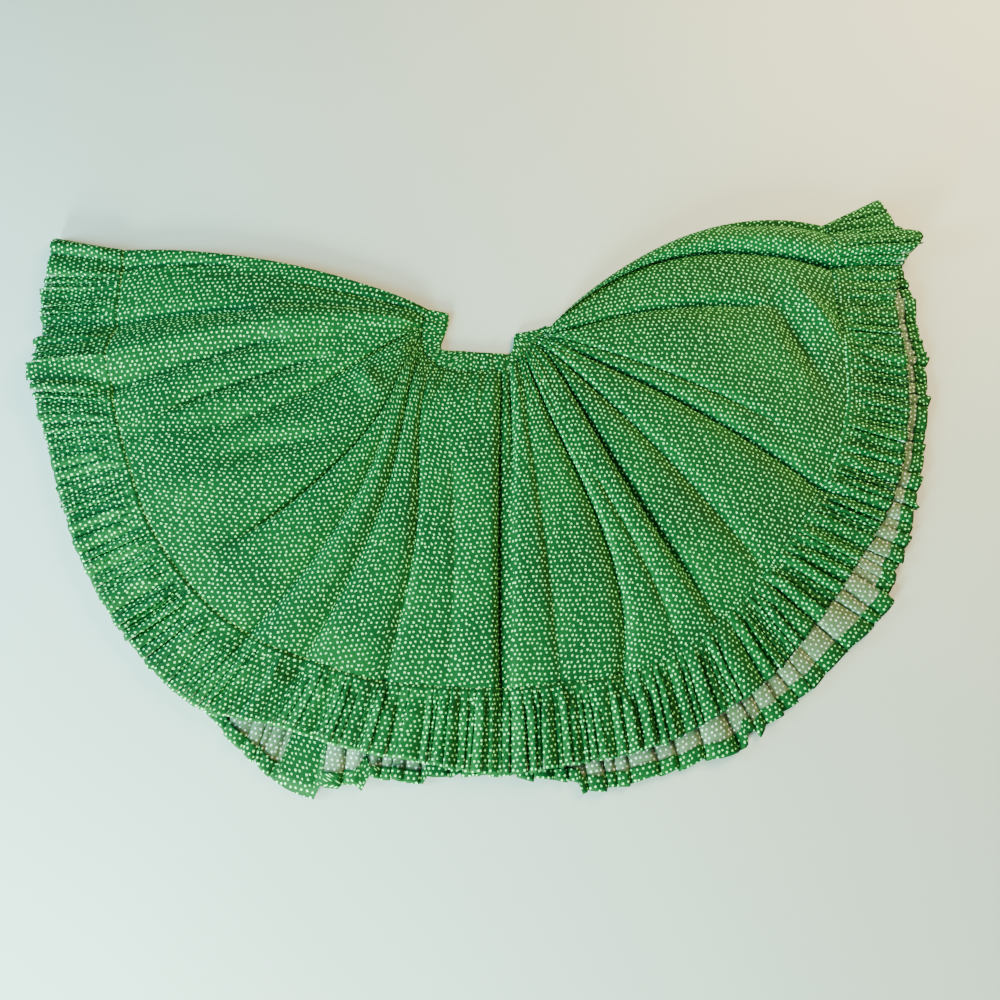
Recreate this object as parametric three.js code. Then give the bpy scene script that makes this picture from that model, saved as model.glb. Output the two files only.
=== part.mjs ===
// Square dance skirt: a full circle skirt with a gathered hem ruffle, laid flat as a wide fan.
// Millimetres, +Z up. The front half lies on the back half, and the waist is at the top of the fan.
import * as THREE from 'three';

// ---------------------------------------------------------------- driving dimensions
const CLOTH = 1.3;            // wall of the cotton
const SEAM_GAP = 0.3;         // between two pieces that are sewn together
const EDGE_ROLL = 9.0;        // width at the seam over which a side fold comes down to the floor
const CREASES_APART = 4.0;    // least width of a fold, as at the seam
const PUFF = 3.0;             // how far the front stands off the back between its folds

const CASING = 2.4;           // waistband: two layers of cotton over elastic
const CASING_CROWN = 0.6;     // how much thicker it is along its middle
const CASING_RIPPLES = 18;    // gathers round each half of it
const CASING_RIPPLE = 0.7;    // height of one

const WAIST_GATHERS = 24;     // small gathers let into the front half of the waist seam
const WAIST_GATHER = 1.6;     // their height
const WAIST_GATHER_END = 0.3; // share of the gore's length over which they smooth out

const GATHER_PITCH = 15.5;    // front ruffle: one gather for each length of seam
const GATHER_HEIGHT = 4.2;    // height of a gather at the hem
const GATHER_AT_SEAM = 0.12;  // share of that height left at the seam
const GATHER_GROWN = 0.4;     // share of the ruffle's depth at which it is full
const GATHER_WIDTHS = { least: 0.7, most: 1.3 };
const GATHER_HEIGHTS = { least: 0.55, most: 1.0 };

const PLEAT_PITCH = 30.0;     // back ruffle: one pressed pleat for each length of seam
const PLEAT_HEIGHT = 1.2;
const PLEAT_GROWN = 0.5;      // share of the ruffle's depth at which a pleat is full
const PLEAT_STEP = 0.16;      // share of a pleat that its steep side takes
const PLEAT_WANDER = 0.25;    // how far it may lie from its even place, as a share of a pleat
const PLEAT_HEIGHTS = { least: 0.5, most: 1.0 };
const HEM_TURN = 15.0;        // depth of the hem turned up to the wrong side
const HEM_STEP = 0.8;         // how far the turned-up hem stands over the ruffle
const HEM_STEP_RUN = 1.0;     // length of the slope at its raw edge

const BACK_COLUMNS = 44;      // steps round the back gores and waistband
const FRONT_ROWS = 12;        // steps from the waist to the seam, closer at the waist
const FRONT_ROWS_CLOSER = 1.3;
const BACK_ROWS = 4;
const FRONT_RUFFLE_ROWS = [0, 0.32, 1];
const CASING_ROWS = [0, 0.5, 1];

const COTTON_GREEN = 0x2c8a4a;
const COTTON_SHADE = 0x25763f;
const COTTON_WRONG_SIDE = 0x9fbda2;

// a table's rows as objects, with a name for each column
const table = (names, rows) => rows.map((row) => Object.fromEntries(names.map((name, i) => [name, row[i]])));

// A row for each line that the cloth follows from the waist to the hem, from the left side fold to
// the right one. Points are [x, y] on the floor from the middle of the front waist edge.
// casing: top edge of the waistband. waist: its lower seam. middle: half way down the gore.
// seam: gore to ruffle. hem: edge of the front ruffle. under: edge of the back ruffle.
const LINES = table(['casing', 'waist', 'middle', 'seam', 'hem', 'under'], [
  [[-74, 58], [-106, 64], [-334, 136], [-569, 153], [-676, 173], [-671, 166]],
  [[-74, 42], [-112, 52], [-346, 96], [-564, 85], [-679, 82], [-671, 83]],
  [[-79, 22], [-115, 34], [-350, 48], [-565, 19], [-671, 9], [-664, 9]],
  [[-84, 7], [-115, 14], [-346, -6], [-566, -36], [-666, -47], [-658, -44]],
  [[-84, -2], [-112, -5], [-340, -67], [-549, -104], [-660, -100], [-652, -104]],
  [[-77, -4], [-108, -15], [-322, -129], [-520, -184], [-618, -210], [-611, -211]],
  [[-70, -5], [-101, -23], [-289, -190], [-474, -285], [-566, -330], [-560, -330]],
  [[-64, -5], [-93, -29], [-251, -239], [-402, -376], [-490, -438], [-486, -437]],
  [[-57, -5], [-84, -34], [-214, -268], [-328, -431], [-398, -520], [-390, -523]],
  [[-50, -5], [-74, -38], [-171, -289], [-249, -462], [-294, -545], [-288, -610]],
  [[-38, -6], [-58, -40], [-120, -298], [-166, -487], [-192, -576], [-182, -620]],
  [[-18, -7], [-29, -40], [-66, -302], [-83, -496], [-95, -594], [-90, -614]],
  [[5, -8], [6, -37], [2, -299], [4, -499], [4, -609], [4, -611]],
  [[17, -9], [27, -24], [60, -289], [80, -492], [88, -598], [88, -616]],
  [[23, -2], [39, -11], [108, -265], [173, -479], [190, -580], [194, -616]],
  [[25, 12], [47, -1], [155, -235], [257, -442], [286, -540], [300, -584]],
  [[27, 24], [54, 7], [202, -195], [333, -384], [392, -468], [426, -502]],
  [[36, 27], [60, 13], [247, -143], [410, -300], [497, -347], [546, -387]],
  [[45, 29], [66, 18], [281, -81], [482, -197], [578, -229], [614, -236]],
  [[53, 31], [70, 23], [300, -24], [521, -92], [617, -109], [650, -112]],
  [[60, 33], [73, 27], [311, 35], [529, 0], [627, -12], [665, -12]],
  [[66, 35], [76, 30], [316, 92], [526, 84], [624, 91], [660, 88]],
  [[70, 37], [78, 32], [313, 150], [529, 150], [645, 154], [651, 150]],
  [[72, 38], [79, 34], [310, 178], [530, 186], [672, 198], [650, 190]],
  [[73, 39], [80, 36], [307, 194], [530, 211], [644, 227], [636, 222]],
  [[74, 40], [81, 38], [304, 203], [526, 228], [626, 281], [618, 272]],
]);

const CENTRE_LINE = 12;       // row of LINES that the centre-front and centre-back seams follow

// A row for each crease of the front, from the left, and the fold on its right.
// waist and seam: where the crease leaves the waist and crosses the ruffle seam, in rows of LINES.
// bend: how soon it fans out from the waist. bow: how far it bows to the right half way. It has its
// full depth from start to full and is gone at end, counted 0 at the waist, 1 at the seam and 2 at
// the hem. deep: its depth, as a share of the height of the folds beside it. height: of the fold on
// its right at the seam. crest: how far across that fold its crest lies. flat: how flat its top is.
const FOLD_NAMES = [
  'waist', 'seam', 'bend', 'bow', 'start', 'full', 'end', 'deep', 'height', 'crest', 'flat',
];
const FOLDS = table(FOLD_NAMES, [
  [0.0, 0.0, 1, 0, 0.0, 3.0, 4.0, 0.0, 9, 0.5, 3.0],
  [0.3, 0.55, 1, 0, 0.72, 1.4, 2.0, 0.9, 9, 0.5, 5.0],
  [0.9, 0.85, 1, 0, 0.0, 0.3, 0.5, 0.6, 12, 0.7, 3.0],
  [1.5, 1.93, 4, 0, 0.6, 1.9, 2.4, 1.0, 21, 0.5, 1.6],
  [2.2, 3.68, 1, 0, 0.5, 1.0, 1.9, 0.8, 14, 0.5, 3.4],
  [3.1, 4.45, 1, 0, 0.38, 0.7, 0.9, 0.9, 13, 0.5, 4.4],
  [2.25, 4.72, 4.5, 0, 0.0, 0.35, 0.85, 1.0, 17, 0.55, 4.6],
  [2.6, 6.62, 12, 0, 0.0, 0.6, 0.9, 1.0, 15, 0.4, 5.0],
  [3.4, 7.92, 7, 0, 0.3, 0.9, 1.7, 0.9, 15, 0.5, 2.6],
  [4.2, 8.88, 7, 0, 0.0, 1.0, 1.9, 0.9, 12, 0.45, 4.0],
  [6.6, 10.2, 5, 0, 0.1, 0.8, 1.5, 0.8, 10, 0.5, 5.0],
  [9.4, 11.2, 4, 0, 0.3, 0.8, 1.1, 0.35, 13, 0.8, 3.0],
  [12.0, 12.0, 1, 0, 0.0, 1.3, 2.0, 1.0, 6, 0.5, 2.4],
  [12.5, 12.2, 1, 0, 0.0, 0.2, 0.4, 1.0, 13, 0.4, 4.0],
  [13.1, 13.05, 1, 0, 0.15, 0.8, 1.2, 0.35, 11, 0.5, 4.0],
  [14.1, 13.95, 1, 0.6, 0.0, 1.0, 1.7, 0.9, 13, 0.5, 4.0],
  [14.6, 14.9, 1, 0.3, 0.5, 0.8, 1.1, 0.35, 15, 0.55, 3.2],
  [16.6, 15.60, 5, 0, 0.0, 0.75, 1.1, 0.9, 12, 0.4, 4.0],
  [16.8, 16.55, 1, 0, 0.0, 0.8, 1.1, 0.7, 13, 0.5, 4.0],
  [17.9, 17.82, 1, 0.05, 0.15, 1.0, 1.6, 1.0, 11, 0.5, 4.0],
  [18.7, 18.25, 1, 0, 0.1, 0.6, 0.9, 0.5, 15, 0.3, 7.0],
  [19.0, 20.72, 10, 0, 0.0, 0.6, 0.85, 1.0, 15, 0.4, 4.5],
  [24.2, 21.95, 2, 0, 0.08, 2.4, 3.0, 1.0, 25, 0.5, 2.2],
  [24.2, 24.0, 4, 0, 0.7, 2.4, 3.0, 0.9, 6, 0.5, 3.0],
]);

const CREASE_OPENS = 0.14;    // length over which a crease deepens at its start
const FOLD_GROWTH = { at: -0.02, early: 0.07, late: 0.5, earlyShare: 0.6 };
const FOLD_KEPT = 0.5;        // share of a fold's height kept out on the ruffle
const ROLL_KEPT = 0.95;       // the same of a fold taller than ROLL_FROM
const ROLL_FROM = 20;
const RUFFLE_FLATTENS = 1.7;  // where the folds have come down to that share

// low rises of the front that cross its folds: middle and half axis [x, y], half width and height
const SWELLS = table(['middle', 'axis', 'wide', 'height'], [
  [[496, 56], [34, -52], 16, 12],
  [[460, 18], [36, -76], 20, -13],
  [[-190, -56], [14, -26], 18, 6],
  [[-318, -160], [82, 22], 16, -8],
  [[-400, -215], [70, 24], 30, 4],
  [[300, 22], [80, 10], 40, 4],
]);
const SWELL_FALL = 1.5;       // how steeply a swell falls away

// ---------------------------------------------------------------- the lay of the cloth
const mix = THREE.MathUtils.lerp;
const smooth = THREE.MathUtils.smoothstep;
const clamp = THREE.MathUtils.clamp;

const lines = LINES.map((row) => {
  const points = Object.entries(row).map(([name, [x, y]]) => [name, new THREE.Vector2(x, y)]);
  return Object.fromEntries(points);
});

// where each line stands round the fan, as a share of the whole seam's length
const seamSteps = lines.slice(1).map((row, i) => row.seam.distanceTo(lines[i].seam));
const SEAM_LENGTH = seamSteps.reduce((sum, step) => sum + step, 0);
const lineAt = [0];
seamSteps.forEach((step) => lineAt.push(lineAt.at(-1) + step / SEAM_LENGTH));
const CENTRE = lineAt[CENTRE_LINE];
const CENTRE_CREASE = FOLDS.findIndex((fold) => fold.seam === CENTRE_LINE);
const LAST_CREASE = FOLDS.length;
const EDGE = EDGE_ROLL / SEAM_LENGTH;

// share round the fan of a place counted in lines, such as 6.5
function turnOfLine(line) {
  const i = Math.min(Math.floor(line), lineAt.length - 2);
  return mix(lineAt[i], lineAt[i + 1], line - i);
}

// a named column of LINES at any share round the fan, on a smooth curve through its rows
function along(column, turn) {
  const last = lineAt.length - 1;
  let i = 0;
  while (i < last - 1 && turn > lineAt[i + 1]) i += 1;
  const slope = (k) => {
    const a = Math.max(k - 1, 0);
    const b = Math.min(k + 1, last);
    return lines[b][column].clone().sub(lines[a][column]).divideScalar(lineAt[b] - lineAt[a]);
  };
  const span = lineAt[i + 1] - lineAt[i];
  const f = (turn - lineAt[i]) / span;
  return lines[i][column].clone().multiplyScalar(2 * f ** 3 - 3 * f ** 2 + 1)
    .addScaledVector(slope(i), span * (f ** 3 - 2 * f ** 2 + f))
    .addScaledVector(lines[i + 1][column], 3 * f ** 2 - 2 * f ** 3)
    .addScaledVector(slope(i + 1), span * (f ** 3 - f ** 2));
}

// the curved line down a gore, from the waist seam at down = 0 through the middle to the ruffle seam at 1
function goreAt(turn, down) {
  return along('waist', turn).multiplyScalar((1 - down) * (1 - 2 * down))
    .addScaledVector(along('middle', turn), 4 * down * (1 - down))
    .addScaledVector(along('seam', turn), down * (2 * down - 1));
}

// a place on the waistband, from its top edge at down = 0 to its lower seam at 1
const casingAt = (turn, down) => along('casing', turn).lerp(along('waist', turn), down);

// Places on a ruffle, from the straight steps of its gore's seam edge at down = 0 to its own edge at 1.
// The column nearest to each corner of the gore's edge starts on that corner.
function ruffleBelow(goreTurns, turns, edge) {
  const starts = [...turns];
  goreTurns.forEach((corner) => {
    const gaps = turns.map((turn) => Math.abs(turn - corner));
    starts[gaps.indexOf(Math.min(...gaps))] = corner;
  });
  return (turn, down) => {
    const start = starts[turns.indexOf(turn)];
    let i = 0;
    while (i < goreTurns.length - 2 && start > goreTurns[i + 1]) i += 1;
    const f = (start - goreTurns[i]) / (goreTurns[i + 1] - goreTurns[i]);
    const seam = along('seam', goreTurns[i]).lerp(along('seam', goreTurns[i + 1]), f);
    return seam.lerp(along(edge, turn), down);
  };
}

// ---------------------------------------------------------------- heights
// a repeatable uneven number from least to most
function uneven(seed, { least, most }) {
  const n = Math.sin(seed * 12.9898 + 4.1414) * 43758.5453;
  return mix(least, most, n - Math.floor(n));
}

// 0 at the side folds, where the front comes down to the floor, and 1 inside them
const sideFold = (turn) => smooth(Math.min(turn, 1 - turn), 0, EDGE);

// turns of the creases and of the right side fold at this distance down, each clear of the next
function creasesAt(down) {
  const left = 1 - Math.min(down, 1);
  const bowed = 4 * left * (1 - left);
  const turns = FOLDS.map(({ waist, seam, bend, bow }) => (
    turnOfLine(mix(seam, waist, left ** bend) + bow * bowed)
  ));
  turns.push(1);
  for (let k = LAST_CREASE - 1; k >= 0; k -= 1) {
    turns[k] = Math.min(turns[k], turns[k + 1] - CREASES_APART / SEAM_LENGTH);
  }
  return turns;
}

// height of a fold's crest
function crestHeight(k, down) {
  const { at, early, late, earlyShare } = FOLD_GROWTH;
  const grown = smooth(down, at, early) * mix(earlyShare, 1, smooth(down, 0, late));
  const kept = FOLDS[k].height > ROLL_FROM ? ROLL_KEPT : FOLD_KEPT;
  return FOLDS[k].height * grown * mix(1, kept, smooth(down, 1, RUFFLE_FLATTENS));
}

// height of the crease on a fold's left
function creaseHeight(k, down) {
  if (k === LAST_CREASE) return 0;
  const { start, full, end, deep } = FOLDS[k];
  const opened = smooth(down, start - CREASE_OPENS, start) * (1 - smooth(down, full, end));
  const beside = (crestHeight(Math.max(k - 1, 0), down) + crestHeight(k, down)) / 2;
  return beside * (1 - opened * deep);
}

// height of the front's folds and swells at a point of the plan
function foldHeight(turn, down, point) {
  const creases = creasesAt(down);
  let k = 0;
  while (k < LAST_CREASE - 1 && turn > creases[k + 1]) k += 1;
  const across = clamp((turn - creases[k]) / (creases[k + 1] - creases[k]), 0, 1);
  const { crest, flat } = FOLDS[k];
  const top = crestHeight(k, down);
  const rising = across < crest;
  const fromCrest = rising ? 1 - across / crest : (across - crest) / (1 - crest);
  const foot = creaseHeight(rising ? k : k + 1, down);
  const fold = top - (top - foot) * fromCrest ** flat;
  return Math.max(fold + swellHeight(point), 0);
}

function swellHeight(point) {
  return SWELLS.reduce((sum, { middle, axis, wide, height }) => {
    const off = point.clone().sub(new THREE.Vector2(...middle));
    const long = new THREE.Vector2(...axis);
    const lengthwise = off.dot(long) / long.lengthSq();
    const crosswise = off.cross(long) / long.length() / wide;
    return sum + height * Math.exp(-SWELL_FALL * (lengthwise ** 2 + crosswise ** 2));
  }, 0);
}

const BACK_TOP = CLOTH + PLEAT_HEIGHT + HEM_STEP;

// height of the front's underside where it has no fold
function frontFloor(down) {
  const puff = PUFF * smooth(down, 0, 0.15) * (1 - smooth(down, 0.85, 1.05));
  return mix(CASING + 2 * SEAM_GAP, BACK_TOP + 2 * SEAM_GAP, Math.min(down, 1)) + puff;
}

// underside of the front gores
function goreUnder(turn, down, point) {
  const wave = (1 - Math.cos(turn * WAIST_GATHERS * 2 * Math.PI)) / 2;
  const gather = WAIST_GATHER * wave * (1 - smooth(down, 0, WAIST_GATHER_END));
  return sideFold(turn) * (frontFloor(down) + foldHeight(turn, down, point) + gather);
}

// ---------------------------------------------------------------- closed walls
// A closed wall from two grids of points, [column][row], top over bottom.
function closedWall(top, bottom) {
  const columns = top.length;
  const rows = top[0].length;
  const positions = [...top.flat(), ...bottom.flat()].flatMap((p) => [p.x, p.y, p.z]);
  const upper = (i, j) => i * rows + j;
  const lower = (i, j) => columns * rows + i * rows + j;
  const faces = [];
  const quad = (a, b, c, d) => faces.push(a, b, c, a, c, d);
  for (let i = 0; i < columns - 1; i += 1) {
    for (let j = 0; j < rows - 1; j += 1) {
      quad(upper(i, j), upper(i, j + 1), upper(i + 1, j + 1), upper(i + 1, j));
      quad(lower(i, j), lower(i + 1, j), lower(i + 1, j + 1), lower(i, j + 1));
    }
    quad(lower(i, 0), upper(i, 0), upper(i + 1, 0), lower(i + 1, 0));
    quad(lower(i + 1, rows - 1), upper(i + 1, rows - 1), upper(i, rows - 1), lower(i, rows - 1));
  }
  for (let j = 0; j < rows - 1; j += 1) {
    quad(lower(0, j + 1), upper(0, j + 1), upper(0, j), lower(0, j));
    quad(lower(columns - 1, j), upper(columns - 1, j), upper(columns - 1, j + 1), lower(columns - 1, j + 1));
  }
  const geometry = new THREE.BufferGeometry();
  geometry.setAttribute('position', new THREE.Float32BufferAttribute(positions, 3));
  geometry.setIndex(faces);
  geometry.computeVertexNormals();
  return geometry;
}

// One piece of cloth over some columns and rows. turnAt gives a column's share round the fan at a row,
// place its [x, y], under its underside and thick its wall. The outermost rows and the column on a
// centre seam are drawn in by half a seam gap.
function clothWall({ columns, rows, turnAt, place, under, thick, trim }) {
  const top = [];
  const bottom = [];
  columns.forEach((column, i) => {
    const run = rows.map((row) => place(turnAt(column, row), row));
    const fromFirst = run[1].clone().sub(run[0]).normalize();
    const fromLast = run.at(-2).clone().sub(run.at(-1)).normalize();
    if (trim.first) run[0].addScaledVector(fromFirst, SEAM_GAP / 2);
    if (trim.last) run.at(-1).addScaledVector(fromLast, SEAM_GAP / 2);
    if (trim.centreFirst && i === 0) run.forEach((p) => p.setX(p.x + SEAM_GAP / 2));
    if (trim.centreLast && i === columns.length - 1) run.forEach((p) => p.setX(p.x - SEAM_GAP / 2));
    const low = rows.map((row, j) => under(turnAt(column, row), row, run[j], column));
    const high = rows.map((row, j) => low[j] + thick(turnAt(column, row), row, column));
    bottom.push(run.map((p, j) => new THREE.Vector3(p.x, p.y, low[j])));
    top.push(run.map((p, j) => new THREE.Vector3(p.x, p.y, high[j])));
  });
  return closedWall(top, bottom);
}

const evenRows = (count, closer = 1) => Array.from({ length: count + 1 }, (_, j) => (j / count) ** closer);

// turns for one half of the back, even between its ends
function evenTurns(from, to) {
  const count = Math.round(BACK_COLUMNS * (to - from));
  return Array.from({ length: count + 1 }, (_, i) => mix(from, to, i / count));
}

// Columns that run along the folds, four to a fold: its crease, its crest and half way up each side.
// Each is a function from the distance down to the share round the fan. At a side fold the nearest
// column stays where the cloth starts to come down.
function foldColumns(first, last) {
  const columns = [];
  const addColumn = (k, across) => columns.push((down) => {
    const creases = creasesAt(down);
    return mix(creases[k], creases[k + 1], across);
  });
  for (let k = first; k < last; k += 1) {
    const { crest } = FOLDS[k];
    [0, crest / 2, crest, (1 + crest) / 2].forEach((across) => addColumn(k, across));
  }
  addColumn(last - 1, 1);
  if (first === 0) columns[1] = () => EDGE;
  if (last === LAST_CREASE) columns.splice(-3, 2, () => 1 - EDGE);
  return columns;
}

// ---------------------------------------------------------------- gathers
// Columns for a gathered strip: each gather has a foot, a crest near its foot and a shoulder, unevenly
// spaced and of uneven height.
const GATHER_SHAPE = [
  { share: 0.0, rise: 0.0 },
  { share: 0.36, rise: 1.0 },
  { share: 0.7, rise: 0.42 },
];

function gatherColumns(from, to, seed) {
  const count = Math.round(((to - from) * SEAM_LENGTH) / GATHER_PITCH);
  const widths = Array.from({ length: count }, (_, k) => uneven(seed + k, GATHER_WIDTHS));
  const total = widths.reduce((sum, w) => sum + w, 0);
  const columns = [];
  let done = 0;
  widths.forEach((w, k) => {
    const tall = uneven(seed + 31 * k, GATHER_HEIGHTS);
    GATHER_SHAPE.forEach(({ share, rise }) => {
      columns.push({ turn: mix(from, to, (done + w * share) / total), rise: rise * tall });
    });
    done += w;
  });
  columns.push({ turn: to, rise: 0 });
  return columns;
}

// Columns for a strip pressed flat into small pleats, each a step up and a slope down.
function pleatColumns(from, to) {
  const count = Math.round(((to - from) * SEAM_LENGTH) / PLEAT_PITCH);
  const columns = [];
  for (let k = 0; k < count; k += 1) {
    const wander = k === 0 ? 0 : uneven(k + 7, { least: -PLEAT_WANDER, most: PLEAT_WANDER });
    const rise = uneven(3 * k, PLEAT_HEIGHTS);
    columns.push({ turn: mix(from, to, (k + wander) / count), rise: 0 });
    columns.push({ turn: mix(from, to, (k + wander + PLEAT_STEP) / count), rise });
  }
  columns.push({ turn: to, rise: 0 });
  return columns;
}

// ---------------------------------------------------------------- pieces
const skirt = new THREE.Group();

function addPiece(name, geometry, color) {
  const material = new THREE.MeshStandardMaterial({ color, roughness: 0.85, metalness: 0 });
  const mesh = new THREE.Mesh(geometry, material);
  mesh.name = name;
  skirt.add(mesh);
}

// Both layers of each half. creases: the two that bound its front gore.
const HALVES = [
  { side: 'left', from: 0, to: CENTRE, creases: [0, CENTRE_CREASE], trim: { centreLast: true } },
  { side: 'right', from: CENTRE, to: 1, creases: [CENTRE_CREASE, LAST_CREASE], trim: { centreFirst: true } },
];

// the back half ends where the side folds of the front come down
const insideFolds = (turn) => clamp(turn, EDGE, 1 - EDGE);

function frontGore({ side, creases, trim }) {
  const geometry = clothWall({
    columns: foldColumns(...creases),
    rows: evenRows(FRONT_ROWS, FRONT_ROWS_CLOSER),
    turnAt: (column, down) => column(down),
    place: goreAt,
    under: goreUnder,
    thick: () => CLOTH,
    trim: { ...trim, first: true, last: true },
  });
  addPiece(`body_front_${side}`, geometry, COTTON_GREEN);
}

function backGore({ side, from, to, trim }) {
  const geometry = clothWall({
    columns: evenTurns(insideFolds(from), insideFolds(to)),
    rows: evenRows(BACK_ROWS),
    turnAt: (turn) => turn,
    place: goreAt,
    under: () => 0,
    thick: () => CLOTH,
    trim: { ...trim, first: true, last: true },
  });
  addPiece(`body_back_${side}`, geometry, COTTON_SHADE);
}

function frontRuffle({ side, from, to, creases, trim }, seed) {
  const columns = gatherColumns(from, to, seed);
  const goreTurns = foldColumns(...creases).map((column) => column(1));
  const geometry = clothWall({
    columns,
    rows: FRONT_RUFFLE_ROWS,
    turnAt: ({ turn }) => turn,
    place: ruffleBelow(goreTurns, columns.map(({ turn }) => turn), 'hem'),
    under: (turn, down, point, { rise }) => {
      const gather = GATHER_HEIGHT * rise * mix(GATHER_AT_SEAM, 1, smooth(down, 0, GATHER_GROWN));
      return sideFold(turn) * (frontFloor(1 + down) + foldHeight(turn, 1 + down, point) + gather);
    },
    thick: () => CLOTH,
    trim: { ...trim, first: true },
  });
  addPiece(`ruffle_front_${side}`, geometry, COTTON_GREEN);
}

function backRuffle({ side, from, to, trim }) {
  const columns = pleatColumns(insideFolds(from), insideFolds(to));
  const depth = along('seam', CENTRE).distanceTo(along('under', CENTRE));
  const hemStart = 1 - HEM_TURN / depth;
  const goreTurns = evenTurns(insideFolds(from), insideFolds(to));
  const geometry = clothWall({
    columns,
    rows: [0, hemStart - HEM_STEP_RUN / depth, hemStart, 1],
    turnAt: ({ turn }) => turn,
    place: ruffleBelow(goreTurns, columns.map(({ turn }) => turn), 'under'),
    under: () => 0,
    thick: (turn, down, { rise }) => {
      const pleat = PLEAT_HEIGHT * rise * smooth(down, 0, PLEAT_GROWN);
      return CLOTH + pleat + (down >= hemStart ? HEM_STEP : 0);
    },
    trim: { ...trim, first: true },
  });
  addPiece(`ruffle_back_${side}`, geometry, COTTON_WRONG_SIDE);
}

const casingThick = (down) => CASING + CASING_CROWN * Math.sin(Math.PI * down);

function frontCasing() {
  const geometry = clothWall({
    columns: foldColumns(0, LAST_CREASE).map((column) => column(0)),
    rows: CASING_ROWS,
    turnAt: (turn) => turn,
    place: casingAt,
    under: (turn) => sideFold(turn) * (casingThick(0) + SEAM_GAP),
    thick: (turn, down) => {
      const ripple = CASING_RIPPLE * Math.abs(Math.sin(turn * CASING_RIPPLES * Math.PI));
      return casingThick(down) + ripple * sideFold(turn);
    },
    trim: { last: true },
  });
  addPiece('waistband_front', geometry, COTTON_GREEN);
}

function backCasing() {
  const geometry = clothWall({
    columns: [...evenTurns(EDGE, CENTRE), ...evenTurns(CENTRE, 1 - EDGE).slice(1)],
    rows: CASING_ROWS,
    turnAt: (turn) => turn,
    place: casingAt,
    under: () => 0,
    thick: () => CASING,
    trim: { last: true },
  });
  addPiece('waistband_back', geometry, COTTON_SHADE);
}

HALVES.forEach(frontGore);
HALVES.forEach(backGore);
HALVES.forEach((half, i) => frontRuffle(half, 100 * i + 1));
HALVES.forEach(backRuffle);
frontCasing();
backCasing();

// the origin is the middle of the skirt's outline, on the surface it lies on
const bounds = new THREE.Box3().setFromObject(skirt);
const middle = bounds.getCenter(new THREE.Vector3());
skirt.children.forEach((mesh) => mesh.geometry.translate(-middle.x, -middle.y, -bounds.min.z));

export default skirt;
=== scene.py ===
"""Square dance skirt of green dotted calico, laid flat as a wide fan, in metres."""
import logging
import math
from collections.abc import Callable
from dataclasses import dataclass, replace
from enum import Enum

import bpy
import numpy as np
from bpy.types import ID, Material, NodeSocket, NodeTree, Object
from mathutils import Matrix, Vector


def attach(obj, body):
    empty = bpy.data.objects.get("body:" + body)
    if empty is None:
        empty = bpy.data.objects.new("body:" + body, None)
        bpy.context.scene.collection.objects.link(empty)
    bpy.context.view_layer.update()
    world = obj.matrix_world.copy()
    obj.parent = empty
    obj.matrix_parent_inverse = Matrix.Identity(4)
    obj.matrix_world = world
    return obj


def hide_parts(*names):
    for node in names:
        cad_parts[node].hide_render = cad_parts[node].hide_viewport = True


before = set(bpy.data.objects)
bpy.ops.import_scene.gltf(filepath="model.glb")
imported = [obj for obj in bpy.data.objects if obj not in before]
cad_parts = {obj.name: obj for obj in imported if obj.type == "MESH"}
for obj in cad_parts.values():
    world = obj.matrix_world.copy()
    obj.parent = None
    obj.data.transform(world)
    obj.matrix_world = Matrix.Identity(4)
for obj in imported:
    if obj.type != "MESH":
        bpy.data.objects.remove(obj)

LOG = logging.getLogger("skirt")
Point = tuple[float, float]
Grid = np.ndarray
Colour = tuple[float, float, float, float]
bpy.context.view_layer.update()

MM = 0.001

# ---------------- driving sizes, in metres
CLOTH = 0.35 * MM  # thickness of the cotton
WALL = 1.3 * MM  # wall that the solids give it
CASING = 2.4 * MM  # thickness of the waistband
SEAM_GAP = 0.3 * MM  # between two solids at a seam
BACK_TOP = 3.3 * MM  # how high the back ruffle's solid reaches
EDGE_ROLL = 9.0 * MM  # width at the seam over which a side fold comes down
CREASES_APART = 4.0 * MM  # least width of a fold, as at the seam
RUFFLE_DEPTH = 110.0 * MM  # from the seam to the hem, as it lies
HEM_TURN = 15.0 * MM  # depth of the turned-up hem
FLARED = (21.6, 22.4)  # places in LINES between which the ruffle opens into a fan
HEM_FOLD = 0.9 * MM  # height of the hem's folded edge
HEM_STITCH = 12.5 * MM  # from the hem's edge to its row of stitches
SEAM_SINK = 0.5 * MM  # how far sewing pulls the cloth down at a seam, at most
SEAM_REACH = 2.4 * MM  # and how far from the seam that reaches
SEAM_PULLS = 240  # how often that changes round the skirt
SEAM_PULL = (0.15, 1.0)  # least and most of it, as shares
SEAM_SEED = 8
PUFF = 3.0 * MM  # how far the front stands off the back between its folds
CENTRE_LINE = 12  # row of LINES that the centre seams follow
LEAST_HEIGHT = 1.2 * CLOTH  # of the cloth's upper side over the floor
STITCHED = 1 - HEM_STITCH / RUFFLE_DEPTH  # share of the ruffle's depth at which it is stitched
STITCH_LIFT = 0.15 * MM  # how far a stitch's middle stands off the cloth
TINY = 1e-9  # keeps a division from failing

# Ways down the front, 0 at the waist, 1 at the ruffle seam and 2 at the hem, each from and to.
FOLDS_RISE = (-0.02, 0.07)  # the folds start under the casing
FOLDS_FILL = (0.0, 0.5)  # and fill out from their share at the waist
FOLDS_SINK = (1.0, 1.7)  # and sink to their share at the hem
PUFF_GROWS = (0.0, 0.15)
PUFF_ENDS = (0.85, 1.05)
CREASE_OPENS = (-0.12, 0.02)  # round the place where a crease starts
FOLD_AT_WAIST = 0.6  # share of a fold's height at the waist
TALL_FOLD = 20  # a fold over this height, in millimetres, keeps more at the hem
TALL_AT_HEM = 0.95
LOW_AT_HEM = 0.5
SWELL_FALL = 1.5  # how fast a swell falls away
CALM_EDGE = 0.1  # share of a step over which its calm comes and goes


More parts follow.
